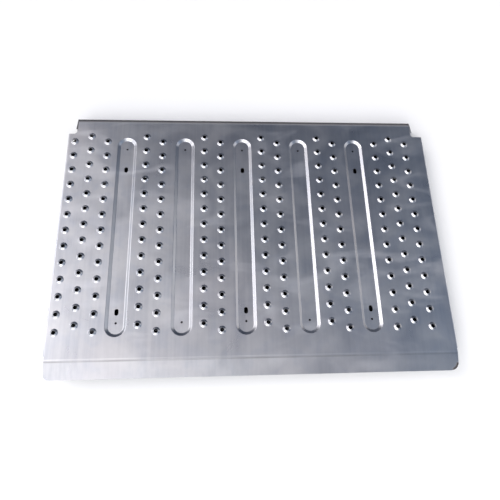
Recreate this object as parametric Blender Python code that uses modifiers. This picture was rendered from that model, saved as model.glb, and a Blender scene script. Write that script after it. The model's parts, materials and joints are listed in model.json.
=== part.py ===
"""Pressed steel scaffold plank, as an assembly.

A galvanised deck sheet carries 182 raised grip dimples, five stiffening grooves,
drain holes and bolt slots. Its rear and side edges are folded down into flanges
and its front edge into a shallow lip. Three hat-section cross members lie under
it, each riveted through its end tabs to the side flanges.

Metres, +Z up, +Y towards the plank's rear edge. The origin is on the ground
under the middle of the plank, and the flange rims stand on z = 0.
"""
import math

import bmesh
import bpy
from mathutils import Matrix, Vector

# --- Driving dimensions ---------------------------------------------------
LENGTH = 0.920                # along X, outside the side flanges
WIDTH = 0.650                 # along Y, rear flange to front edge of the lip
HEIGHT = 0.050                # flange rim to deck top
SHEET = 0.0015                # deck sheet thickness
GAP = 0.0003                  # left between pieces that touch

# --- Deck outline ---------------------------------------------------------
SIDE_BEND = 0.005             # outer radius of the side flanges' bend
REAR_BEND = 0.012             # outer radius of the rear flange's bend
BEND_STEPS = 4
NOTCH_DEPTH = 0.048           # rear corner notches, along Y
NOTCH_LEFT_X = 0.439          # from the middle to the left notch
NOTCH_RIGHT_X = 0.430         # and to the right notch, which is wider
NOTCH_FILLET = 0.008
SIDE_FLANGE_FRONT = -0.2755   # the side flanges end here, behind the crease
CREASE_Y = -0.286
LIP_ANGLE = math.radians(10)
LIP_CORNER_LEFT = 0.012
LIP_CORNER_RIGHT = 0.018
CORNER_STEPS = 4

# --- Grip dimples ---------------------------------------------------------
FIRST_COLUMN_X = -0.4421
PAIR = 0.041                  # between neighbouring columns of a group
COLUMN_STEPS = (PAIR, PAIR, 0.097, PAIR, 0.105, PAIR, 0.1045, PAIR, 0.1045, PAIR, 0.111, PAIR, PAIR)
STAGGERED_COLUMNS = (1, 3, 5, 7, 9, 12)
ROWS = 13
ROW_PITCH = 0.040
REAR_ROW_Y = 0.2545
STAGGER = 0.015               # a staggered column sits this far to the rear
DIMPLE_BASE_R = 0.0095
DIMPLE_HOLE_R = 0.0047
DIMPLE_HEIGHT = 0.003
DIMPLE_SIDES = 6

# --- Grooves --------------------------------------------------------------
GROOVES = 5
GROOVE_PITCH = 0.1452
GROOVE_MIDDLE = (-0.0212, 0.0143)
GROOVE_LENGTH = 0.504
GROOVE_R = 0.024              # half its width at the deck
GROOVE_FLOOR_R = 0.0165       # half its floor's width
GROOVE_DEPTH = 0.0045
GROOVE_WALL_STEPS = 3
GROOVE_END_STEPS = 8
DRAIN_R = 0.0025
DRAIN_OFFSET = 0.2205         # from the groove's middle to each drain hole
SLOT_R = 0.0045
SLOT_LENGTH = 0.015
SLOTTED_GROOVES = (0, 2, 4)

# --- Cross members --------------------------------------------------------
REAR_BEARER_Y = 0.177         # the two bearers lie under the two rows of slots
FRONT_BEARER_Y = -0.1815
FRONT_CHANNEL_Y = -0.2605
MEMBER_SHEET = 0.002
MEMBER_BEND = 0.004           # outer radius of the bends at its web
TAB_BEND = 0.004              # outer radius of the bend at each end tab
MEMBER_BEND_STEPS = 3
BEARER_WEB = 0.035            # flat width of the web, between its bends
CHANNEL_WEB = 0.026
FOOT_WIDTH = 0.014            # flat width of each foot
TAB_DEPTH = 0.036             # how far an end tab reaches below its web

# --- Rivets ---------------------------------------------------------------
RIVET_R = 0.0024
RIVET_HEAD_R = 0.0046
RIVET_HEAD_HEIGHT = 0.0014
RIVET_TAIL_R = 0.0036
RIVET_TAIL_HEIGHT = 0.004
RIVET_SIDES = 10
RIVET_Z = 0.022
BEARER_RIVET_SPACING = 0.024
CHANNEL_RIVET_SPACING = 0.014

# --- Derived --------------------------------------------------------------
FLAT_X = LENGTH / 2 - SIDE_BEND
FLAT_REAR = WIDTH / 2 - REAR_BEND
NOTCH_Y = WIDTH / 2 - NOTCH_DEPTH
LIP_LENGTH = (WIDTH / 2 + CREASE_Y) / math.cos(LIP_ANGLE)
GROOVE_HALF_SPINE = GROOVE_LENGTH / 2 - GROOVE_R
MEMBER_FLAT_X = LENGTH / 2 - SHEET - GAP - TAB_BEND
BEARER_TOP = HEIGHT - GROOVE_DEPTH - SHEET - GAP
CHANNEL_TOP = HEIGHT - SHEET - GAP
TINY = 1e-5


def clear_scene():
    for obj in list(bpy.data.objects):
        bpy.data.objects.remove(obj)


def collection(name):
    group = bpy.data.collections.new(name)
    bpy.context.scene.collection.children.link(group)
    return group


def steel(name, colour, roughness):
    material = bpy.data.materials.new(name)
    material.use_nodes = True
    shader = material.node_tree.nodes["Principled BSDF"]
    shader.inputs["Base Color"].default_value = (*colour, 1)
    shader.inputs["Roughness"].default_value = roughness
    shader.inputs["Metallic"].default_value = 1
    return material


# --- Plan outlines --------------------------------------------------------
def arc(centre, radius, start, end, steps):
    """Points along an arc, with its angles in degrees."""
    angles = [math.radians(start + (end - start) * i / steps) for i in range(steps + 1)]
    return [(centre[0] + radius * math.cos(a), centre[1] + radius * math.sin(a)) for a in angles]


def slot_outline(centre, half_spine, radius, steps):
    """A slot with round ends and its length along Y, or a circle if half_spine is 0."""
    x, y = centre
    if half_spine == 0:
        return arc(centre, radius, 0, 360, 2 * steps)[:-1]
    rear = arc((x, y + half_spine), radius, 0, 180, steps)
    return rear + arc((x, y - half_spine), radius, 180, 360, steps)


def deck_outline():
    front = CREASE_Y - LIP_LENGTH
    left, right = LIP_CORNER_LEFT, LIP_CORNER_RIGHT
    fillet = NOTCH_FILLET
    points = arc((-FLAT_X + left, front + left), left, 180, 270, CORNER_STEPS)
    points += arc((FLAT_X - right, front + right), right, 270, 360, CORNER_STEPS)
    points += [(FLAT_X, SIDE_FLANGE_FRONT), (FLAT_X, NOTCH_Y)]
    points += arc((NOTCH_RIGHT_X + fillet, NOTCH_Y + fillet), fillet, 270, 180, CORNER_STEPS)
    points += [(NOTCH_RIGHT_X, FLAT_REAR), (-NOTCH_LEFT_X, FLAT_REAR)]
    points += arc((-NOTCH_LEFT_X - fillet, NOTCH_Y + fillet), fillet, 0, -90, CORNER_STEPS)
    points += [(-FLAT_X, NOTCH_Y), (-FLAT_X, SIDE_FLANGE_FRONT)]
    return points


def dimple_centres():
    x = FIRST_COLUMN_X
    centres = []
    for column, step in enumerate((0, *COLUMN_STEPS)):
        x += step
        shift = STAGGER if column in STAGGERED_COLUMNS else 0
        centres += [(x, REAR_ROW_Y + shift - row * ROW_PITCH) for row in range(ROWS)]
    return centres


def groove_centres():
    x, y = GROOVE_MIDDLE
    return [(x + (i - (GROOVES - 1) / 2) * GROOVE_PITCH, y) for i in range(GROOVES)]


# --- Sheet work -----------------------------------------------------------
def flat_sheet(outlines, z):
    """A mesh filled between the first outline and the others, which are its holes."""
    curve = bpy.data.curves.new("outline", "CURVE")
    curve.dimensions = "2D"
    curve.fill_mode = "BOTH"
    for outline in outlines:
        spline = curve.splines.new("POLY")
        spline.points.add(len(outline) - 1)
        for point, (x, y) in zip(spline.points, outline):
            point.co = (x, y, 0, 1)
        spline.use_cyclic_u = True
    guide = bpy.data.objects.new("outline", curve)
    bpy.context.scene.collection.objects.link(guide)
    evaluated = guide.evaluated_get(bpy.context.evaluated_depsgraph_get())
    mesh = bpy.data.meshes.new_from_object(evaluated)
    bpy.data.objects.remove(guide)
    bm = bmesh.new()
    bm.from_mesh(mesh)
    bpy.data.meshes.remove(mesh)
    bmesh.ops.remove_doubles(bm, verts=bm.verts, dist=TINY)
    bmesh.ops.translate(bm, verts=bm.verts, vec=(0, 0, z))
    return bm


def extrude(bm, edges):
    """Extrude free edges in place, and return the new edges and their vertices."""
    new = bmesh.ops.extrude_edge_only(bm, edges=edges)["geom"]
    verts = {item for item in new if isinstance(item, bmesh.types.BMVert)}
    far = [item for item in new if isinstance(item, bmesh.types.BMEdge) and set(item.verts) <= verts]
    return far, verts


def free_edges(bm, inside):
    """The sheet's free edges whose two ends both satisfy inside."""
    return [edge for edge in bm.edges if edge.is_boundary and all(inside(v.co) for v in edge.verts)]


def fold(bm, edges, along, towards, radius, straight, steps):
    """Fold a right-angle flange on free edges. The sheet leaves them in the direction
    along and turns towards the second direction, then runs straight."""
    along, towards = Vector(along), Vector(towards)
    path = []
    for i in range(steps + 1):
        angle = math.pi / 2 * i / steps
        path.append(radius * (along * math.sin(angle) + towards * (1 - math.cos(angle))))
    path.append(path[-1] + towards * straight)
    for before, after in zip(path, path[1:]):
        edges, verts = extrude(bm, edges)
        bmesh.ops.translate(bm, verts=list(verts), vec=after - before)
    return edges


def press(bm, centre, half_spine, profile):
    """Press a dimple or a groove into the sheet from its hole's free edge. The profile
    lists the distance from the spine and the height above the sheet, ring by ring."""
    x, y = centre
    reach = profile[0][0] + TINY

    def on_spine(co):
        return Vector((x, min(max(co.y, y - half_spine), y + half_spine), co.z))

    edges = free_edges(bm, lambda co: (co - on_spine(co)).length < reach)
    for (radius, height), (next_radius, next_height) in zip(profile, profile[1:]):
        edges, verts = extrude(bm, edges)
        for vert in verts:
            spine = on_spine(vert.co)
            vert.co = spine + (vert.co - spine) * next_radius / radius
            vert.co.z += next_height - height
    return edges


def finish_sheet(bm, name, group, material, thickness, cutter):
    """Make the open outer surface a solid sheet and punch its holes."""
    bmesh.ops.recalc_face_normals(bm, faces=bm.faces)
    if max(bm.faces, key=lambda face: face.calc_area()).normal.z < 0:
        bmesh.ops.reverse_faces(bm, faces=bm.faces)
    mesh = bpy.data.meshes.new(name)
    bm.to_mesh(mesh)
    bm.free()
    mesh.shade_smooth()
    mesh.set_sharp_from_angle(angle=math.radians(30))
    mesh.materials.append(material)
    obj = bpy.data.objects.new(name, mesh)
    group.objects.link(obj)
    solidify = obj.modifiers.new("thickness", "SOLIDIFY")
    solidify.thickness = thickness
    solidify.offset = -1
    solidify.use_even_offset = True
    holes = obj.modifiers.new("holes", "BOOLEAN")
    holes.operation = "DIFFERENCE"
    holes.object = cutter
    return obj


# --- Deck sheet -----------------------------------------------------------
def groove_profile():
    """An S-shaped wall from the deck down to the groove's floor."""
    rings = []
    for i in range(GROOVE_WALL_STEPS + 1):
        t = i / GROOVE_WALL_STEPS
        radius = GROOVE_R + (GROOVE_FLOOR_R - GROOVE_R) * t
        rings.append((radius, -GROOVE_DEPTH * (1 - math.cos(math.pi * t)) / 2))
    return rings


def fold_lip(bm):
    bmesh.ops.bisect_plane(bm, geom=bm.verts[:] + bm.edges[:] + bm.faces[:],
                           plane_co=(0, CREASE_Y, 0), plane_no=(0, 1, 0))
    lip = [v for v in bm.verts if v.co.y < CREASE_Y + TINY]
    bmesh.ops.rotate(bm, verts=lip, cent=(0, CREASE_Y, HEIGHT), matrix=Matrix.Rotation(LIP_ANGLE, 3, "X"))


def fold_side_flanges(bm):
    def beside_notch(co):
        return SIDE_FLANGE_FRONT - TINY < co.y < NOTCH_Y + TINY

    for side in (-1, 1):
        edges = free_edges(bm, lambda co: abs(co.x - side * FLAT_X) < TINY and beside_notch(co))
        fold(bm, edges, (side, 0, 0), (0, 0, -1), SIDE_BEND, HEIGHT - SIDE_BEND, BEND_STEPS)


def fold_rear_flange(bm):
    """The rear flange widens below the notches, to the plank's full length at its rim."""
    edges = free_edges(bm, lambda co: co.y > FLAT_REAR - TINY)
    fold(bm, edges, (0, 1, 0), (0, 0, -1), REAR_BEND, HEIGHT - REAR_BEND, BEND_STEPS)
    for vert in bm.verts:
        if vert.co.y > FLAT_REAR + TINY:
            drop = (HEIGHT - vert.co.z) / HEIGHT
            inner = NOTCH_LEFT_X if vert.co.x < 0 else NOTCH_RIGHT_X
            vert.co.x *= 1 + (LENGTH / 2 / inner - 1) * drop


def make_deck_sheet(group, material, cutter):
    dimples, grooves = dimple_centres(), groove_centres()
    outlines = [deck_outline()]
    outlines += [arc(c, DIMPLE_BASE_R, 30, 390, DIMPLE_SIDES)[:-1] for c in dimples]
    outlines += [slot_outline(c, GROOVE_HALF_SPINE, GROOVE_R, GROOVE_END_STEPS) for c in grooves]
    bm = flat_sheet(outlines, HEIGHT)
    for centre in dimples:
        press(bm, centre, 0, [(DIMPLE_BASE_R, 0), (DIMPLE_HOLE_R, DIMPLE_HEIGHT)])
    for centre in grooves:
        rim = press(bm, centre, GROOVE_HALF_SPINE, groove_profile())
        bmesh.ops.contextual_create(bm, geom=rim)
    fold_lip(bm)
    fold_side_flanges(bm)
    fold_rear_flange(bm)
    return finish_sheet(bm, "deck_sheet", group, material, SHEET, cutter)


# --- Cross members --------------------------------------------------------
def make_cross_member(name, y, web, top, group, material, cutter):
    """A hat section along X with its feet on the ground and a tab folded down at each end."""
    end = MEMBER_FLAT_X
    corners = [(-end, y - web / 2), (end, y - web / 2), (end, y + web / 2), (-end, y + web / 2)]
    bm = flat_sheet([corners], top)
    foot_bend = MEMBER_BEND - MEMBER_SHEET
    leg_length = top - MEMBER_SHEET - MEMBER_BEND - foot_bend
    for side in (-1, 1):
        web_edge = free_edges(bm, lambda co: abs(co.y - y - side * web / 2) < TINY)
        leg = fold(bm, web_edge, (0, side, 0), (0, 0, -1), MEMBER_BEND, leg_length, MEMBER_BEND_STEPS)
        fold(bm, leg, (0, 0, -1), (0, side, 0), foot_bend, FOOT_WIDTH, MEMBER_BEND_STEPS)
    for side in (-1, 1):
        web_end = free_edges(bm, lambda co: abs(co.x - side * end) < TINY and co.z > top - TINY)
        fold(bm, web_end, (side, 0, 0), (0, 0, -1), TAB_BEND, TAB_DEPTH - TAB_BEND, BEND_STEPS)
    return finish_sheet(bm, name, group, material, MEMBER_SHEET, cutter)


# --- Rivets ---------------------------------------------------------------
def rivet_mesh(material):
    """A blind rivet about Z, with its head's seat at z = 0 and its tail below it."""
    grip = SHEET + MEMBER_SHEET + 2 * GAP
    dome = [(RIVET_HEAD_R * math.sin(a), GAP + RIVET_HEAD_HEIGHT * math.cos(a))
            for a in (math.pi / 2 * i / 3 for i in range(4))]
    profile = dome + [(RIVET_R, GAP), (RIVET_R, -grip), (RIVET_TAIL_R, -grip),
                      (RIVET_TAIL_R, -grip - RIVET_TAIL_HEIGHT), (0, -grip - RIVET_TAIL_HEIGHT)]
    mesh = bpy.data.meshes.new("rivet")
    edges = [(i, i + 1) for i in range(len(profile) - 1)]
    mesh.from_pydata([(x, 0, z) for x, z in profile], edges, [])
    mesh.materials.append(material)
    return mesh


def rivet_places():
    """Name, y and side of each rivet: two through each end tab."""
    places = []
    for member, y, spacing in (("rear_bearer", REAR_BEARER_Y, BEARER_RIVET_SPACING),
                               ("front_bearer", FRONT_BEARER_Y, BEARER_RIVET_SPACING),
                               ("front_channel", FRONT_CHANNEL_Y, CHANNEL_RIVET_SPACING)):
        for side, side_name in ((-1, "left"), (1, "right")):
            for number, shift in ((1, spacing / 2), (2, -spacing / 2)):
                places.append((f"{member}_rivet_{side_name}_{number}", y + shift, side))
    return places


def make_rivets(group, material):
    mesh = rivet_mesh(material)
    for name, y, side in rivet_places():
        obj = bpy.data.objects.new(name, mesh)
        group.objects.link(obj)
        obj.location = (side * LENGTH / 2, y, RIVET_Z)
        obj.rotation_euler = (0, side * math.pi / 2, 0)
        turn = obj.modifiers.new("turn", "SCREW")
        turn.steps = turn.render_steps = RIVET_SIDES
        turn.use_merge_vertices = True
        turn.merge_threshold = TINY
        turn.use_smooth_shade = True


# --- Punched holes --------------------------------------------------------
def make_punches(group):
    """One cutter for the groove floors' drains and slots and for the rivets' holes."""
    bm = bmesh.new()
    floor_z = HEIGHT - GROOVE_DEPTH
    reach = 0.006
    for x, y in groove_centres():
        for offset in (-DRAIN_OFFSET, DRAIN_OFFSET):
            add_punch(bm, arc((x, y + offset), DRAIN_R, 0, 360, 8)[:-1], floor_z, reach)
    for groove in SLOTTED_GROOVES:
        for y in (REAR_BEARER_Y, FRONT_BEARER_Y):
            centre = (groove_centres()[groove][0], y)
            add_punch(bm, slot_outline(centre, SLOT_LENGTH / 2 - SLOT_R, SLOT_R, 5), floor_z, reach)
    for _, y, side in rivet_places():
        place = Matrix.Translation((side * LENGTH / 2, y, RIVET_Z)) @ Matrix.Rotation(math.pi / 2, 4, "Y")
        bmesh.ops.create_cone(bm, cap_ends=True, segments=8, radius1=RIVET_R + GAP,
                              radius2=RIVET_R + GAP, depth=2 * reach, matrix=place)
    mesh = bpy.data.meshes.new("punches")
    bm.to_mesh(mesh)
    bm.free()
    obj = bpy.data.objects.new("punches", mesh)
    group.objects.link(obj)
    obj.hide_render = True
    obj.display_type = "WIRE"
    return obj


def add_punch(bm, outline, z, reach):
    """Add a prism of this outline that reaches as far above z as below it."""
    base = [bm.verts.new((x, y, z - reach)) for x, y in outline]
    face = bm.faces.new(base)
    top = bmesh.ops.extrude_face_region(bm, geom=[face])["geom"]
    verts = [item for item in top if isinstance(item, bmesh.types.BMVert)]
    bmesh.ops.translate(bm, verts=verts, vec=(0, 0, 2 * reach))
    bmesh.ops.recalc_face_normals(bm, faces=bm.faces)


def main():
    clear_scene()
    parts = collection("scaffold_plank")
    cutters = collection("cutters")
    sheet_zinc = steel("galvanised_sheet", (0.50, 0.53, 0.58), 0.38)
    member_zinc = steel("galvanised_member", (0.46, 0.48, 0.51), 0.45)
    rivet_steel = steel("rivet_steel", (0.55, 0.56, 0.58), 0.35)
    punches = make_punches(cutters)
    make_deck_sheet(parts, sheet_zinc, punches)
    make_cross_member("rear_bearer", REAR_BEARER_Y, BEARER_WEB, BEARER_TOP, parts, member_zinc, punches)
    make_cross_member("front_bearer", FRONT_BEARER_Y, BEARER_WEB, BEARER_TOP, parts, member_zinc, punches)
    make_cross_member("front_channel", FRONT_CHANNEL_Y, CHANNEL_WEB, CHANNEL_TOP, parts, member_zinc, punches)
    make_rivets(parts, rivet_steel)


main()
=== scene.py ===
"""Looks for the scaffold plank: finely meshed sheet pieces, worn zinc, studio light and camera."""
import json
import math

import bmesh
import bpy
from mathutils import Matrix, Vector

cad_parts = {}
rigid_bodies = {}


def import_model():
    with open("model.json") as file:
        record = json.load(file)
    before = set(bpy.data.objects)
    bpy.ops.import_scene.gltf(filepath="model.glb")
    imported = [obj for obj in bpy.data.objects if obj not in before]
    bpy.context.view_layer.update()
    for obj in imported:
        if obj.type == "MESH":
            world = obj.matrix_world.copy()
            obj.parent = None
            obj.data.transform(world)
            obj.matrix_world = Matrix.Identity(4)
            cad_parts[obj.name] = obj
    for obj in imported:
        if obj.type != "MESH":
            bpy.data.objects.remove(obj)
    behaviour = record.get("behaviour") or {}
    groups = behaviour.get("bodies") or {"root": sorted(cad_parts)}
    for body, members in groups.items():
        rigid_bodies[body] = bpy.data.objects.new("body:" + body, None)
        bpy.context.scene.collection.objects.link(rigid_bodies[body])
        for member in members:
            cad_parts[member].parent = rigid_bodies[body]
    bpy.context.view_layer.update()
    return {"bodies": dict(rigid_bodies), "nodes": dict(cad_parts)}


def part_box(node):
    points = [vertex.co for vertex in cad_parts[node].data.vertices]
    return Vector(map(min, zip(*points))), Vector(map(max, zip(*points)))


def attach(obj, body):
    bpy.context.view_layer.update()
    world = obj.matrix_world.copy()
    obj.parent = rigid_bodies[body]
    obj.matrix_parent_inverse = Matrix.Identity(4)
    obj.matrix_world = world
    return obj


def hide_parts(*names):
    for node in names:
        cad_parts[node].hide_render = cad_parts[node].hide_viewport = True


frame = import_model()
deck_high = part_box("deck_sheet")[1]
body = next(iter(frame["bodies"]))

# --- Sizes taken from the frame -------------------------------------------
DIMPLE_HEIGHT = 0.003
HALF_X = deck_high.x
HALF_Y = deck_high.y
HEIGHT = deck_high.z - DIMPLE_HEIGHT
SHEET = 0.0015
GAP = 0.0003

# --- Deck outline ---------------------------------------------------------
SIDE_BEND = 0.003             # outer radius, tighter than the CAD's
REAR_BEND = 0.012
NOTCH_DEPTH = 0.048
NOTCH_LEFT_X = 0.439
NOTCH_RIGHT_X = 0.430
NOTCH_FILLET = 0.008
SIDE_FLANGE_FRONT = -0.2755
CREASE_Y = -0.286
CREASE_RADIUS = 0.006
LIP_ANGLE = math.radians(10)
LIP_CORNER_LEFT = 0.012
LIP_CORNER_RIGHT = 0.018
FLAT_X = HALF_X - SIDE_BEND
FLAT_REAR = HALF_Y - REAR_BEND
NOTCH_Y = HALF_Y - NOTCH_DEPTH
LIP_LENGTH = (HALF_Y + CREASE_Y) / math.cos(LIP_ANGLE)

# --- Grip dimples ---------------------------------------------------------
FIRST_COLUMN_X = -0.4421
PAIR = 0.041                  # between neighbouring columns of a group
COLUMN_STEPS = (PAIR, PAIR, 0.097, PAIR, 0.105, PAIR, 0.1045, PAIR, 0.1045, PAIR, 0.111, PAIR, PAIR)
STAGGERED_COLUMNS = (1, 3, 5, 7, 9, 12)
ROWS = 13
ROW_PITCH = 0.040
REAR_ROW_Y = 0.2545
STAGGER = 0.015
DIMPLE_BASE_R = 0.0095
DIMPLE_HOLE_R = 0.0048
DIMPLE_CROWN_ROUND = 0.0011   # at the rolled crown around the hole
DIMPLE_FOOT_ROUND = 0.0016

# --- Grooves --------------------------------------------------------------
GROOVES = 5
GROOVE_PITCH = 0.1452
GROOVE_MIDDLE = (-0.0212, 0.0143)
GROOVE_LENGTH = 0.504
GROOVE_R = 0.024
GROOVE_FLOOR_R = 0.0165
GROOVE_DEPTH = 0.0045
GROOVE_ROUND = 0.002          # at the top and the foot of its wall
GROOVE_HALF_SPINE = GROOVE_LENGTH / 2 - GROOVE_R
DRAIN_R = 0.0025
DRAIN_OFFSET = 0.2205
SLOT_R = 0.0045
SLOT_LENGTH = 0.015
SLOTTED_GROOVES = (0, 2, 4)

# --- Cross members and rivets ---------------------------------------------
MEMBER_SHEET = 0.002
MEMBER_BEND = 0.004
FOOT_WIDTH = 0.014
TAB_DEPTH = 0.036
TAB_BEND = 0.004
MEMBER_FLAT_X = HALF_X - SHEET - GAP - TAB_BEND
WEB_OVERHANG = MEMBER_BEND + FOOT_WIDTH + MEMBER_BEND - MEMBER_SHEET
RIVET_R = 0.0024
RIVET_TAIL_R = 0.0036
RIVET_TAIL_HEIGHT = 0.004
RIVET_HEAD_R = 0.0046
RIVET_HEAD_HEIGHT = 0.0014
MANDREL_R = 0.0009            # of the hole that the pulled mandrel leaves in the head
MANDREL_RIM_R = 0.00117
MANDREL_DEPTH = 0.0008
MANDREL_CHAMFER = 0.0001

# --- Mesh fineness --------------------------------------------------------
DIMPLE_SIDES = 28
DIMPLE_RINGS = 4
ROUND_STEPS = 24
BEND_STEPS = 10
CREASE_STEPS = 4
RIVET_STEPS = 8
EDGE_ROUND = 0.00025
COLLAR = 0.0008               # flat ring kept around each pressing
STEEPEST_WALL = math.radians(80)
WALL_HALVINGS = 40            # steps taken to find a wall's angle
TINY = 1e-5


# --- Plan outlines --------------------------------------------------------
def arc(centre, radius, start, end, steps):
    """Points along an arc, with its angles in degrees."""
    angles = [math.radians(start + (end - start) * i / steps) for i in range(steps + 1)]
    return [(centre[0] + radius * math.cos(a), centre[1] + radius * math.sin(a)) for a in angles]


def circle(centre, radius, steps):
    return arc(centre, radius, 0, 360, steps)[:-1]


def slot_outline(centre, half_spine, radius, steps):
    """A slot with round ends and its length along Y."""
    x, y = centre
    rear = arc((x, y + half_spine), radius, 0, 180, steps)
    return rear + arc((x, y - half_spine), radius, 180, 360, steps)


def deck_outline():
    """The deck's flat outline, with the lip still flat in front of the crease."""
    front = CREASE_Y - LIP_LENGTH
    left, right = LIP_CORNER_LEFT, LIP_CORNER_RIGHT
    fillet = NOTCH_FILLET
    points = arc((-FLAT_X + left, front + left), left, 180, 270, ROUND_STEPS // 2)
    points += arc((FLAT_X - right, front + right), right, 270, 360, ROUND_STEPS // 2)
    points += [(FLAT_X, SIDE_FLANGE_FRONT), (FLAT_X, NOTCH_Y)]
    points += arc((NOTCH_RIGHT_X + fillet, NOTCH_Y + fillet), fillet, 270, 180, ROUND_STEPS // 2)
    points += [(NOTCH_RIGHT_X, FLAT_REAR), (-NOTCH_LEFT_X, FLAT_REAR)]
    points += arc((-NOTCH_LEFT_X - fillet, NOTCH_Y + fillet), fillet, 0, -90, ROUND_STEPS // 2)
    points += [(-FLAT_X, NOTCH_Y), (-FLAT_X, SIDE_FLANGE_FRONT)]
    return points


def dimple_centres():
    x = FIRST_COLUMN_X
    centres = []
    for column, step in enumerate((0, *COLUMN_STEPS)):
        x += step
        shift = STAGGER if column in STAGGERED_COLUMNS else 0
        centres += [(x, REAR_ROW_Y + shift - row * ROW_PITCH) for row in range(ROWS)]
    return centres


def groove_centres():
    x, y = GROOVE_MIDDLE
    return [(x + (i - (GROOVES - 1) / 2) * GROOVE_PITCH, y) for i in range(GROOVES)]


# --- Sheet work -----------------------------------------------------------
def flat_sheet(outlines, z):
    """A mesh filled between the first outline and the others, which are its holes."""
    curve = bpy.data.curves.new("outline", "CURVE")
    curve.dimensions = "2D"
    curve.fill_mode = "BOTH"
    for outline in outlines:
        spline = curve.splines.new("POLY")
        spline.points.add(len(outline) - 1)
        for point, (x, y) in zip(spline.points, outline):
            point.co = (x, y, 0, 1)
        spline.use_cyclic_u = True
    guide = bpy.data.objects.new("outline", curve)
    bpy.context.scene.collection.objects.link(guide)
    evaluated = guide.evaluated_get(bpy.context.evaluated_depsgraph_get())
    mesh = bpy.data.meshes.new_from_object(evaluated)
    bpy.data.objects.remove(guide)
    bm = bmesh.new()
    bm.from_mesh(mesh)
    bpy.data.meshes.remove(mesh)
    bmesh.ops.remove_doubles(bm, verts=bm.verts, dist=TINY)
    bmesh.ops.translate(bm, verts=bm.verts, vec=(0, 0, z))
    return bm


def join(bm, other):
    """Move the other sheet's faces into bm. Shared edges are welded later."""
    mesh = bpy.data.meshes.new("join")
    other.to_mesh(mesh)
    other.free()
    bm.from_mesh(mesh)
    bpy.data.meshes.remove(mesh)


def extrude(bm, edges):
    """Extrude free edges in place, and return the new edges and their vertices."""
    new = bmesh.ops.extrude_edge_only(bm, edges=edges)["geom"]
    verts = {item for item in new if isinstance(item, bmesh.types.BMVert)}
    far = [item for item in new if isinstance(item, bmesh.types.BMEdge) and set(item.verts) <= verts]
    return far, verts


def free_edges(bm, inside):
    return [edge for edge in bm.edges if edge.is_boundary and all(inside(v.co) for v in edge.verts)]


def fold(bm, edges, along, towards, radius, straight, steps):
    """Fold a right-angle flange on free edges that leaves them along one direction,
    turns towards the other, then runs straight."""
    along, towards = Vector(along), Vector(towards)
    path = []
    for i in range(steps + 1):
        angle = math.pi / 2 * i / steps
        path.append(radius * (along * math.sin(angle) + towards * (1 - math.cos(angle))))
    path.append(path[-1] + towards * straight)
    for before, after in zip(path, path[1:]):
        edges, verts = extrude(bm, edges)
        bmesh.ops.translate(bm, verts=list(verts), vec=after - before)
    return edges


def press(bm, outline_at, profile):
    """Add a dimple's or a groove's wall, ring by ring. The profile lists each ring's distance
    from the spine and its height above the deck."""
    rings = [[bm.verts.new((x, y, HEIGHT + height)) for x, y in outline_at(radius)]
             for radius, height in profile]
    for outer, inner in zip(rings, rings[1:]):
        for i in range(len(outer)):
            bm.faces.new((outer[i - 1], outer[i], inner[i], inner[i - 1]))


def wall_profile(width, depth, top_round, foot_round, steps):
    """Points (run, rise) down a wall: rounded at the top and the foot, straight between.
    The wall's angle is found by halving, so that it ends at its full depth."""
    def straight(angle):
        return (width - (top_round + foot_round) * math.sin(angle)) / math.cos(angle)

    low, high = 0, STEEPEST_WALL
    for _ in range(WALL_HALVINGS):
        angle = (low + high) / 2
        drop = (top_round + foot_round) * (1 - math.cos(angle)) + straight(angle) * math.sin(angle)
        low, high = (angle, high) if drop < depth else (low, angle)
    turns = [angle * i / steps for i in range(steps + 1)]
    points = [(top_round * math.sin(a), -top_round * (1 - math.cos(a))) for a in turns]
    points += [(width - foot_round * math.sin(a), -depth + foot_round * (1 - math.cos(a)))
               for a in reversed(turns)]
    return points


def dimple_profile():
    """A flat collar, a flank with a rounded foot and a rolled crown around the pierced hole."""
    flank = wall_profile(DIMPLE_BASE_R - DIMPLE_HOLE_R, DIMPLE_HEIGHT,
                         DIMPLE_CROWN_ROUND, DIMPLE_FOOT_ROUND, DIMPLE_RINGS)
    rings = [(DIMPLE_BASE_R + COLLAR, 0)]
    rings += [(DIMPLE_HOLE_R + run, DIMPLE_HEIGHT + rise) for run, rise in reversed(flank)]
    return rings


def groove_profile():
    """A flat collar, then the wall down to the groove's floor, and a flat rim."""
    wall = wall_profile(GROOVE_R - GROOVE_FLOOR_R, GROOVE_DEPTH,
                        GROOVE_ROUND, GROOVE_ROUND, BEND_STEPS // 2)
    rings = [(GROOVE_R + COLLAR, 0)]
    rings += [(GROOVE_R - run, rise) for run, rise in wall]
    rings.append((GROOVE_FLOOR_R - COLLAR, -GROOVE_DEPTH))
    return rings


def as_mesh(bm, name):
    bmesh.ops.recalc_face_normals(bm, faces=bm.faces)
    if max(bm.faces, key=lambda face: face.calc_area()).normal.z < 0:
        bmesh.ops.reverse_faces(bm, faces=bm.faces)
    mesh = bpy.data.meshes.new(name)
    bm.to_mesh(mesh)
    bm.free()
    mesh.shade_smooth()
    return mesh


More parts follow.
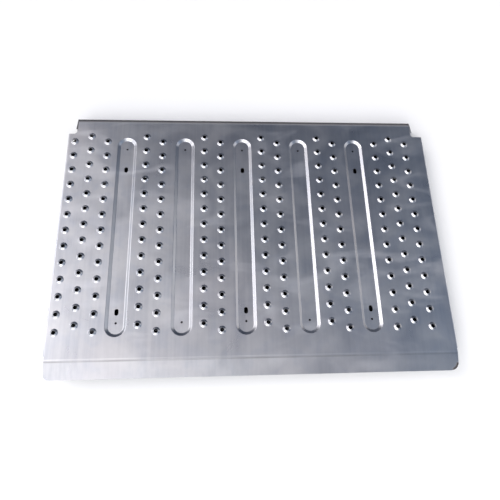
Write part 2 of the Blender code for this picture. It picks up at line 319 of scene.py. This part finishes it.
def finish_sheet(bm, name, thickness, punches, material):
    """Thicken the open sheet, punch its holes, round its edges and put it on the frame."""
    obj = bpy.data.objects.new(name, as_mesh(bm, name))
    bpy.context.scene.collection.objects.link(obj)
    solidify = obj.modifiers.new("thickness", "SOLIDIFY")
    solidify.thickness = thickness
    solidify.offset = -1
    solidify.use_even_offset = True
    holes = obj.modifiers.new("holes", "BOOLEAN")
    holes.operation = "DIFFERENCE"
    holes.object = punches
    bevel = obj.modifiers.new("edges", "BEVEL")
    bevel.width = EDGE_ROUND
    bevel.segments = 2
    bevel.limit_method = "ANGLE"
    bevel.angle_limit = math.radians(55)
    bevel.use_clamp_overlap = True
    even = obj.modifiers.new("normals", "WEIGHTED_NORMAL")
    even.weight = 90
    even.keep_sharp = True
    bake_modifiers(obj)
    obj.data.materials.clear()
    obj.data.materials.append(material)
    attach(obj, body)
    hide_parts(name.removesuffix("_fine"))


def bake_modifiers(obj):
    """Replace the object's mesh by what its modifiers make."""
    evaluated = obj.evaluated_get(bpy.context.evaluated_depsgraph_get())
    mesh = bpy.data.meshes.new_from_object(evaluated)
    obj.modifiers.clear()
    obj.data = mesh


# --- Deck sheet -----------------------------------------------------------
def bend_lip(bm):
    """Wrap the flat lip round the crease's radius, then down at the lip's angle."""
    arc_length = CREASE_RADIUS * LIP_ANGLE
    start = CREASE_Y + arc_length / 2
    for row in range(CREASE_STEPS + 1):
        cut_y = start - arc_length * row / CREASE_STEPS
        bmesh.ops.bisect_plane(bm, geom=bm.verts[:] + bm.edges[:] + bm.faces[:],
                               plane_co=(0, cut_y, 0), plane_no=(0, 1, 0))
    for vert in bm.verts:
        run = start - vert.co.y
        if run <= 0:
            continue
        angle = min(run / CREASE_RADIUS, LIP_ANGLE)
        straight = max(run - arc_length, 0)
        vert.co.y = start - CREASE_RADIUS * math.sin(angle) - straight * math.cos(angle)
        vert.co.z -= CREASE_RADIUS * (1 - math.cos(angle)) + straight * math.sin(angle)


def fold_side_flanges(bm):
    def beside_notch(co):
        return SIDE_FLANGE_FRONT - TINY < co.y < NOTCH_Y + TINY

    for side in (-1, 1):
        edges = free_edges(bm, lambda co: abs(co.x - side * FLAT_X) < TINY and beside_notch(co))
        fold(bm, edges, (side, 0, 0), (0, 0, -1), SIDE_BEND, HEIGHT - SIDE_BEND, BEND_STEPS)


def fold_rear_flange(bm):
    """The rear flange widens below the notches, to the plank's full length at its rim."""
    edges = free_edges(bm, lambda co: co.y > FLAT_REAR - TINY)
    fold(bm, edges, (0, 1, 0), (0, 0, -1), REAR_BEND, HEIGHT - REAR_BEND, BEND_STEPS)
    for vert in bm.verts:
        if vert.co.y > FLAT_REAR + TINY:
            drop = (HEIGHT - vert.co.z) / HEIGHT
            inner = NOTCH_LEFT_X if vert.co.x < 0 else NOTCH_RIGHT_X
            vert.co.x *= 1 + (HALF_X / inner - 1) * drop


def groove_floor(index, centre):
    """A groove's flat floor with its drain holes and, in the slotted grooves, its slots."""
    x, y = centre
    outlines = [slot_outline(centre, GROOVE_HALF_SPINE, GROOVE_FLOOR_R - COLLAR, ROUND_STEPS)]
    outlines += [circle((x, y + offset), DRAIN_R, ROUND_STEPS)
                 for offset in (-DRAIN_OFFSET, DRAIN_OFFSET)]
    if index in SLOTTED_GROOVES:
        outlines += [slot_outline((x, slot_y), SLOT_LENGTH / 2 - SLOT_R, SLOT_R, ROUND_STEPS // 2)
                     for slot_y in slot_rows()]
    return flat_sheet(outlines, HEIGHT - GROOVE_DEPTH)


def make_deck(punches, material):
    dimples, grooves = dimple_centres(), groove_centres()
    outlines = [deck_outline()]
    outlines += [circle(c, DIMPLE_BASE_R + COLLAR, DIMPLE_SIDES) for c in dimples]
    outlines += [slot_outline(c, GROOVE_HALF_SPINE, GROOVE_R + COLLAR, ROUND_STEPS) for c in grooves]
    bm = flat_sheet(outlines, HEIGHT)
    bend_lip(bm)
    fold_side_flanges(bm)
    fold_rear_flange(bm)
    for centre in dimples:
        press(bm, lambda radius: circle(centre, radius, DIMPLE_SIDES), dimple_profile())
    for index, centre in enumerate(grooves):
        def wall_ring(radius):
            return slot_outline(centre, GROOVE_HALF_SPINE, radius, ROUND_STEPS)

        press(bm, wall_ring, groove_profile())
        join(bm, groove_floor(index, centre))
    bmesh.ops.remove_doubles(bm, verts=bm.verts, dist=TINY)
    finish_sheet(bm, "deck_sheet_fine", SHEET, punches, material)


# --- Cross members --------------------------------------------------------
def member_place(name):
    """A cross member's middle y, its web's flat width and its top, from its CAD node."""
    low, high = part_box(name)
    return (low.y + high.y) / 2, high.y - low.y - 2 * WEB_OVERHANG, high.z


def slot_rows():
    return [member_place(name)[0] for name in ("rear_bearer", "front_bearer")]


def make_member(name, punches, material):
    y, web, top = member_place(name)
    end = MEMBER_FLAT_X
    corners = [(-end, y - web / 2), (end, y - web / 2), (end, y + web / 2), (-end, y + web / 2)]
    bm = flat_sheet([corners], top)
    foot_bend = MEMBER_BEND - MEMBER_SHEET
    leg_length = top - MEMBER_SHEET - MEMBER_BEND - foot_bend
    for side in (-1, 1):
        web_edge = free_edges(bm, lambda co: abs(co.y - y - side * web / 2) < TINY)
        leg = fold(bm, web_edge, (0, side, 0), (0, 0, -1), MEMBER_BEND, leg_length, BEND_STEPS)
        fold(bm, leg, (0, 0, -1), (0, side, 0), foot_bend, FOOT_WIDTH, BEND_STEPS)
    for side in (-1, 1):
        web_end = free_edges(bm, lambda co: abs(co.x - side * end) < TINY and co.z > top - TINY)
        fold(bm, web_end, (side, 0, 0), (0, 0, -1), TAB_BEND, TAB_DEPTH - TAB_BEND, BEND_STEPS)
    finish_sheet(bm, name + "_fine", MEMBER_SHEET, punches, material)


# --- Rivets ---------------------------------------------------------------
def rivet_names():
    return sorted(name for name in frame["nodes"] if "_rivet_" in name)


def rivet_place(name):
    """The middle of the rivet's head seat on the side flange, and the flange's side."""
    low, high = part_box(name)
    side = 1 if high.x > 0 else -1
    return Vector((side * HALF_X, (low.y + high.y) / 2, (low.z + high.z) / 2)), side


def rivet_mesh():
    """A blind rivet about Z: domed head with its pulled mandrel's hole, shank and rolled tail."""
    grip = SHEET + MEMBER_SHEET + 2 * GAP
    top = GAP + RIVET_HEAD_HEIGHT
    profile = [(0, top - MANDREL_DEPTH), (MANDREL_R, top - MANDREL_DEPTH),
               (MANDREL_R, top - MANDREL_CHAMFER), (MANDREL_RIM_R, top)]
    for i in range(1, RIVET_STEPS + 1):
        angle = math.pi / 2 * i / RIVET_STEPS
        radius = MANDREL_RIM_R + (RIVET_HEAD_R - MANDREL_RIM_R) * math.sin(angle)
        profile.append((radius, GAP + RIVET_HEAD_HEIGHT * math.cos(angle)))
    profile += [(RIVET_R, GAP), (RIVET_R, -grip)]
    for i in range(RIVET_STEPS + 1):
        angle = math.pi * i / RIVET_STEPS
        bulge = (RIVET_TAIL_R - RIVET_R) * math.sin(angle)
        profile.append((RIVET_R + bulge, -grip - RIVET_TAIL_HEIGHT * (1 - math.cos(angle)) / 2))
    profile.append((0, -grip - RIVET_TAIL_HEIGHT))
    mesh = bpy.data.meshes.new("rivet")
    edges = [(i, i + 1) for i in range(len(profile) - 1)]
    mesh.from_pydata([(x, 0, z) for x, z in profile], edges, [])
    return mesh


def make_rivets(material):
    for name in rivet_names():
        place, side = rivet_place(name)
        obj = bpy.data.objects.new(name + "_fine", rivet_mesh())
        bpy.context.scene.collection.objects.link(obj)
        turn = obj.modifiers.new("turn", "SCREW")
        turn.steps = turn.render_steps = ROUND_STEPS
        turn.use_merge_vertices = True
        turn.merge_threshold = TINY
        turn.use_smooth_shade = True
        bake_modifiers(obj)
        obj.data.transform(Matrix.Translation(place) @ Matrix.Rotation(side * math.pi / 2, 4, "Y"))
        obj.data.materials.append(material)
        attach(obj, body)
        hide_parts(name)


# --- Punched holes --------------------------------------------------------
PUNCH_REACH = 0.006           # how far a punch goes to each side of the sheet's face


def add_punch(bm, outline, z, reach):
    base = [bm.verts.new((x, y, z - reach)) for x, y in outline]
    face = bm.faces.new(base)
    top = bmesh.ops.extrude_face_region(bm, geom=[face])["geom"]
    verts = [item for item in top if isinstance(item, bmesh.types.BMVert)]
    bmesh.ops.translate(bm, verts=verts, vec=(0, 0, 2 * reach))
    bmesh.ops.recalc_face_normals(bm, faces=bm.faces)


def punch_object(name, bm):
    mesh = bpy.data.meshes.new(name)
    bm.to_mesh(mesh)
    bm.free()
    obj = bpy.data.objects.new(name, mesh)
    bpy.context.scene.collection.objects.link(obj)
    return obj


def add_rivet_punches(bm, reach):
    for name in rivet_names():
        place, _ = rivet_place(name)
        bmesh.ops.create_cone(bm, cap_ends=True, segments=ROUND_STEPS, radius1=RIVET_R + GAP,
                              radius2=RIVET_R + GAP, depth=2 * reach,
                              matrix=Matrix.Translation(place) @ Matrix.Rotation(math.pi / 2, 4, "Y"))


def make_punches():
    """Cutters for the deck, which needs only the rivets' holes, and for the cross members."""
    for_deck = bmesh.new()
    add_rivet_punches(for_deck, PUNCH_REACH)
    for_members = bmesh.new()
    add_rivet_punches(for_members, PUNCH_REACH)
    for groove in SLOTTED_GROOVES:
        for y in slot_rows():
            centre = (groove_centres()[groove][0], y)
            outline = slot_outline(centre, SLOT_LENGTH / 2 - SLOT_R, SLOT_R, ROUND_STEPS // 2)
            add_punch(for_members, outline, HEIGHT - GROOVE_DEPTH, PUNCH_REACH)
    return punch_object("deck_punches", for_deck), punch_object("member_punches", for_members)


# --- Materials ------------------------------------------------------------
class Nodes:
    """Short ways to add and link shader nodes."""

    def __init__(self, name):
        self.material = bpy.data.materials.new(name)
        self.material.use_nodes = True
        self.tree = self.material.node_tree
        self.shader = self.tree.nodes["Principled BSDF"]

    def add(self, kind, inputs=(), **settings):
        node = self.tree.nodes.new(kind)
        for key, value in settings.items():
            setattr(node, key, value)
        for key, value in dict(inputs).items():
            self.set(node.inputs[key], value)
        return node

    def set(self, socket, value):
        if isinstance(value, bpy.types.NodeSocket):
            self.tree.links.new(value, socket)
        else:
            socket.default_value = value

    def position(self, scale=(1, 1, 1), rotation=0):
        inputs = {"Vector": self.add("ShaderNodeTexCoord").outputs["Object"],
                  "Scale": scale, "Rotation": (0, 0, rotation)}
        return self.add("ShaderNodeMapping", inputs).outputs["Vector"]

    def noise(self, vector, scale, detail=3, roughness=0.5, distortion=0):
        node = self.add("ShaderNodeTexNoise", {"Vector": vector, "Scale": scale, "Detail": detail,
                                               "Roughness": roughness, "Distortion": distortion})
        return node.outputs["Fac"]

    def ramp(self, value, low, high, to_low=0.0, to_high=1.0):
        node = self.add("ShaderNodeMapRange", {"Value": value, "From Min": low, "From Max": high,
                                               "To Min": to_low, "To Max": to_high})
        return node.outputs["Result"]

    def math(self, operation, a, b=0.0):
        return self.add("ShaderNodeMath", {0: a, 1: b}, operation=operation).outputs[0]

    def mix(self, factor, a, b):
        """Blend two colours."""
        node = self.add("ShaderNodeMix", data_type="RGBA")
        self.set(node.inputs["Factor"], factor)
        self.set(node.inputs[6], a)
        self.set(node.inputs[7], b)
        return node.outputs[2]

    def bump(self, height, distance, strength=1.0, normal=None):
        inputs = {"Height": height, "Distance": distance, "Strength": strength}
        if normal:
            inputs["Normal"] = normal
        return self.add("ShaderNodeBump", inputs).outputs["Normal"]


def rear_bend_painted_shade(n, place):
    """Painted shade along the rear bend, for the dark that the bend reflects. It starts on the deck
    and is gone at the bend's lower end.
    """
    starts, full = HALF_Y - 0.0160, HALF_Y - 0.0105
    gone, thins = HEIGHT - 0.012, HEIGHT - 0.007
    shade_paint = n.ramp(place["Y"], starts, full, 0.0, 0.9)
    return n.math("MULTIPLY", shade_paint, n.ramp(place["Z"], gone, thins))


def notch_edge_painted_shade(n, place):
    """Painted shade on the cut left end of the rear flange and of the deck beside the left notch."""
    edge = n.ramp(place["X"], -NOTCH_LEFT_X + 0.0008, -NOTCH_LEFT_X + 0.0022, 0.8, 0.0)
    return n.math("MULTIPLY", edge, n.ramp(place["Y"], NOTCH_Y + 0.008, NOTCH_Y + 0.014))


def lip_corner_painted_shade(n, place):
    """Painted shade round the edge of the lip's right corner, by the distance from the corner's
    centre.
    """
    corner_x = FLAT_X - LIP_CORNER_RIGHT
    corner_y = -HALF_Y + LIP_CORNER_RIGHT
    across = n.math("MAXIMUM", n.math("SUBTRACT", place["X"], corner_x), 0.0)
    along = n.math("MAXIMUM", n.math("SUBTRACT", corner_y, place["Y"]), 0.0)
    squares = n.math("ADD", n.math("MULTIPLY", across, across), n.math("MULTIPLY", along, along))
    reach = n.math("SQRT", squares)
    rim = n.ramp(reach, LIP_CORNER_RIGHT - 0.0060, LIP_CORNER_RIGHT - 0.0035, 0.0, 0.95)
    on_corner = n.math("MULTIPLY", n.ramp(along, 0.0, 0.002), n.ramp(across, 0.0, 0.006))
    return n.math("MULTIPLY", rim, on_corner)


def deck_painted_shade(n, place):
    """How much painted shade the deck gets, from 0 to 1."""
    rear = n.math("MAXIMUM", rear_bend_painted_shade(n, place), notch_edge_painted_shade(n, place))
    return n.math("MAXIMUM", rear, lip_corner_painted_shade(n, place))


def web_painted_shade(n, place):
    """Painted shade on the up-facing webs, which lie above the feet, in the shade under the deck."""
    below_webs, at_webs = 0.030, 0.038
    normal = n.add("ShaderNodeNewGeometry").outputs["Normal"]
    facing = n.add("ShaderNodeSeparateXYZ", {"Vector": normal}).outputs["Z"]
    return n.math("MULTIPLY", n.ramp(facing, 0.80, 0.95), n.ramp(place["Z"], below_webs, at_webs))


# The painted highlight along the crease's bend and the painted shade line below it: Y, half width,
# strength and grey
CREASE_PAINTED_LINES = (
    (CREASE_Y + 0.0025, 0.0024, 0.50, 0.80),
    (CREASE_Y - 0.0018, 0.0026, 0.85, 0.22),
)


def crease_painted_light(n, place, tone):
    """The lip darkened with painted shade, and a painted highlight and a painted shade line along its
    crease, fainter to the right.
    """
    # Painted shade darkens the forward-tilted lip in front of the crease.
    lip_shade = n.ramp(place["Y"], CREASE_Y - 0.003, CREASE_Y + 0.001, 0.22, 0.0)
    tone = n.mix(lip_shade, tone, (0.18, 0.18, 0.19, 1))
    fade = n.ramp(place["X"], -0.1, 0.4, 1.0, 0.45)
    line_patchiness = n.ramp(n.noise(n.position((8, 1, 1)), scale=1, detail=2), 0.30, 0.60, 0.3, 1.0)
    # Painted highlight and painted shade lines along the crease, broken up by noise.
    for line_y, width, strength, grey in CREASE_PAINTED_LINES:
        away = n.math("ABSOLUTE", n.math("SUBTRACT", place["Y"], line_y))
        line = n.math("MULTIPLY", n.ramp(away, 0.0, width, strength, 0.0), line_patchiness)
        tone = n.mix(n.math("MULTIPLY", line, fade), tone, (grey, grey, grey, 1))
    return tone


def zinc(name, dark, light, rough, shade_paint=None, shade_paint_colour=None, light_and_shade_paint=None):
    """Galvanised sheet: cloudy tone, rolling streaks, faint spangle, blush, smears, wavy skin, with
    optional painted shade and painted light.
    """
    n = Nodes(name)
    here = n.position()
    cloud = n.noise(here, scale=9, detail=4, distortion=1.0)
    tone = n.mix(n.ramp(cloud, 0.36, 0.64), (*dark, 1), (*light, 1))
    patch = n.noise(here, scale=24, detail=2, roughness=0.45, distortion=0.8)
    patch_colour = (dark[0] * 0.93, dark[1] * 0.97, dark[2] * 1.03, 1)
    tone = n.mix(n.ramp(patch, 0.48, 0.64, 0.0, 0.45), tone, patch_colour)
    streak = n.noise(n.position((110, 3, 110)), scale=1, detail=4, roughness=0.6)
    tone = n.mix(n.ramp(streak, 0.35, 0.65, 0.0, 0.5), tone, (*[c * 1.1 for c in light], 1))
    spangle = n.add("ShaderNodeTexVoronoi", {"Vector": here, "Scale": 90}).outputs["Distance"]
    tone = n.mix(n.ramp(spangle, 0.0, 0.8, 0.0, 0.10), tone, (*[c * 0.8 for c in dark], 1))
    blush = n.noise(n.position(rotation=0.9), scale=4, detail=3)
    blush_colour = (light[0] * 1.06, light[1] * 0.98, light[2] * 0.97, 1)
    tone = n.mix(n.ramp(blush, 0.48, 0.72, 0.0, 0.30), tone, blush_colour)
    smear = n.noise(n.position((1, 2.6, 1), 0.5), scale=6, detail=3, roughness=0.45, distortion=1.0)
    smear = n.ramp(smear, 0.55, 0.76)
    tone = n.mix(n.math("MULTIPLY", smear, 0.4), tone, (0.66, 0.66, 0.68, 1))
    dullness = n.math("ADD", n.ramp(cloud, 0.3, 0.7, *rough), n.math("MULTIPLY", smear, 0.12))
    place = n.add("ShaderNodeSeparateXYZ", {"Vector": here}).outputs
    n.shader.inputs["Metallic"].default_value = 1
    # Painted highlight and painted shade lines, where the material has them.
    if light_and_shade_paint:
        tone = light_and_shade_paint(n, place, tone)
    # Painted shade: a near-black, rougher, less metallic colour mixed in by a mask.
    if shade_paint:
        shade_amount = shade_paint(n, place)
        tone = n.mix(shade_amount, tone, shade_paint_colour)
        dullness = n.math("MAXIMUM", dullness, n.math("MULTIPLY", shade_amount, 0.9))
        n.set(n.shader.inputs["Metallic"], n.ramp(shade_amount, 0.0, 1.0, 1.0, 0.0))
        n.set(n.shader.inputs["Specular IOR Level"], n.ramp(shade_amount, 0.0, 1.0, 0.5, 0.1))
    n.set(n.shader.inputs["Base Color"], tone)
    n.set(n.shader.inputs["Roughness"], dullness)
    waves = n.noise(here, scale=5, detail=1, roughness=0.4)
    normal = n.bump(waves, distance=0.0012)
    normal = n.bump(streak, distance=0.00002, strength=0.6, normal=normal)
    n.set(n.shader.inputs["Normal"], normal)
    return n.material


def matt(name, dark, light, scale):
    """Paper, or the near-black sheet of painted shade: matt, with a faint cloudiness."""
    n = Nodes(name)
    speck = n.noise(n.position(), scale=scale, detail=2)
    n.set(n.shader.inputs["Base Color"], n.mix(speck, (*dark, 1), (*light, 1)))
    n.shader.inputs["Roughness"].default_value = 0.9
    return n.material


# --- Stage, light and camera ----------------------------------------------
FLOOR_SIZE = 8
SHADE_SHEET_DROP = 0.0005             # the black sheet of painted shade lies this far below the rims, and the floor as far again
SHADE_SHEET_FRONT = -0.2715
SHADE_SHEET_REAR = 0.3095
SHADE_SHEET_WIDTH = 2 * HALF_X + 0.005


def make_floor():
    """Pale paper, with a near-black sheet of painted shade under the plank so that its holes look
    dark.
    """
    bpy.ops.mesh.primitive_plane_add(size=FLOOR_SIZE, location=(0, 0, -2 * SHADE_SHEET_DROP))
    floor = bpy.context.object
    floor.name = "floor"
    floor.data.materials.append(matt("floor_paper", (0.87, 0.87, 0.855), (0.89, 0.89, 0.875), 3))
    # A near-black sheet under the plank: painted shade, seen through its holes and notches.
    bpy.ops.mesh.primitive_plane_add(size=1, location=(0, (SHADE_SHEET_FRONT + SHADE_SHEET_REAR) / 2, -SHADE_SHEET_DROP))
    shade_sheet = bpy.context.object
    shade_sheet.name = "under_plank_painted_shade"
    shade_sheet.scale = (SHADE_SHEET_WIDTH, SHADE_SHEET_REAR - SHADE_SHEET_FRONT, 1)
    shade_sheet.data.materials.append(matt("painted_shade_black", (0.012, 0.012, 0.012), (0.02, 0.02, 0.02), 60))


# The studio's soft lights face the plank's middle: name, azimuth from +X and elevation in degrees,
# size, radiance and colour
SOFTBOX_DISTANCE = 2.6
SOFTBOXES = (
    ("left_softbox", 178, 16, (2.2, 1.4), 0.9, (1, 1, 1)),
    ("front_softbox", 276, 33, (3.2, 1.3), 1.3, (1, 1, 1)),
    ("right_softbox", 10, 20, (1.7, 1.9), 0.92, (1, 0.93, 0.86)),
)

# Soft glows in the studio's dome: azimuth and elevation, how narrow, and colour
GLOWS = (
    (160, 43, 25, (5.10, 4.90, 5.00)),
    (239, 37, 12.2, (5.00, 4.95, 5.00)),
    (351, 43, 8.0, (0.27, 0.35, 0.47)),
    (198, 72, 12.6, (1.40, 1.33, 1.32)),
)
DOME = (0.078, 0.095, 0.135)


def direction(azimuth, elevation):
    """The unit vector towards an azimuth from +X and an elevation, in degrees."""
    a, e = math.radians(azimuth), math.radians(elevation)
    return (math.cos(a) * math.cos(e), math.sin(a) * math.cos(e), math.sin(e))


def make_softboxes():
    for name, azimuth, elevation, size, radiance, colour in SOFTBOXES:
        data = bpy.data.lights.new(name, "AREA")
        data.shape = "RECTANGLE"
        data.size, data.size_y = size
        data.energy = radiance * math.pi * size[0] * size[1]
        data.color = colour
        light = bpy.data.objects.new(name, data)
        bpy.context.scene.collection.objects.link(light)
        aim = Vector(direction(azimuth, elevation))
        light.location = aim * SOFTBOX_DISTANCE
        light.rotation_euler = aim.to_track_quat("Z", "Y").to_euler()


def make_dome():
    """A dim dome with soft glows. Each falls off with the angle from its middle."""
    world = bpy.data.worlds.new("studio")
    bpy.context.scene.world = world
    world.use_nodes = True
    tree = world.node_tree
    ray = tree.nodes.new("ShaderNodeTexCoord").outputs["Generated"]
    total = None
    for azimuth, elevation, narrow, colour in GLOWS:
        dot = tree.nodes.new("ShaderNodeVectorMath")
        dot.operation = "DOT_PRODUCT"
        tree.links.new(ray, dot.inputs[0])
        dot.inputs[1].default_value = direction(azimuth, elevation)
        fall = tree.nodes.new("ShaderNodeMath")
        fall.operation = "MULTIPLY_ADD"
        tree.links.new(dot.outputs["Value"], fall.inputs[0])
        fall.inputs[1].default_value = narrow
        fall.inputs[2].default_value = -narrow
        glow = tree.nodes.new("ShaderNodeMath")
        glow.operation = "EXPONENT"
        tree.links.new(fall.outputs[0], glow.inputs[0])
        tint = tree.nodes.new("ShaderNodeVectorMath")
        tint.operation = "MULTIPLY_ADD"
        tree.links.new(glow.outputs[0], tint.inputs[0])
        tint.inputs[1].default_value = colour
        if total is None:
            tint.inputs[2].default_value = DOME
        else:
            tree.links.new(total, tint.inputs[2])
        total = tint.outputs[0]
    tree.links.new(total, tree.nodes["Background"].inputs["Color"])


CAMERA_PLACE = Vector((-0.0809, -0.3822, 1.0588))
CAMERA_AIM = Vector((-0.0084, -0.0379, HEIGHT))
CAMERA_ROLL = math.radians(10.86)
CAMERA_LENS = 32.38           # in millimetres, like the sensor's width
SENSOR_WIDTH = 36


def make_camera():
    data = bpy.data.cameras.new("camera")
    data.lens = CAMERA_LENS
    data.sensor_width = SENSOR_WIDTH
    camera = bpy.data.objects.new("camera", data)
    bpy.context.scene.collection.objects.link(camera)
    aim = (CAMERA_AIM - CAMERA_PLACE).to_track_quat("-Z", "Y").to_matrix().to_4x4()
    camera.matrix_world = Matrix.Translation(CAMERA_PLACE) @ aim @ Matrix.Rotation(CAMERA_ROLL, 4, "Z")
    bpy.context.scene.camera = camera


# The deck's and members' near-black colours are painted shade; the deck's crease also gets painted
# light.
deck_zinc = zinc("deck_zinc", (0.43, 0.445, 0.48), (0.53, 0.535, 0.55), rough=(0.26, 0.38),
                 shade_paint=deck_painted_shade, shade_paint_colour=(0.050, 0.045, 0.045, 1), light_and_shade_paint=crease_painted_light)
member_zinc = zinc("member_zinc", (0.42, 0.44, 0.47), (0.52, 0.53, 0.55), rough=(0.38, 0.50),
                   shade_paint=web_painted_shade, shade_paint_colour=(0.02, 0.02, 0.02, 1))
rivet_steel = zinc("rivet_steel", (0.52, 0.53, 0.55), (0.60, 0.61, 0.62), rough=(0.28, 0.36))

deck_punches, member_punches = make_punches()
make_deck(deck_punches, deck_zinc)
for member in ("rear_bearer", "front_bearer", "front_channel"):
    make_member(member, member_punches, member_zinc)
make_rivets(rivet_steel)
for punches in (deck_punches, member_punches):
    bpy.data.objects.remove(punches)

make_floor()
make_softboxes()
make_dome()
make_camera()
bpy.context.scene.view_settings.view_transform = "Standard"
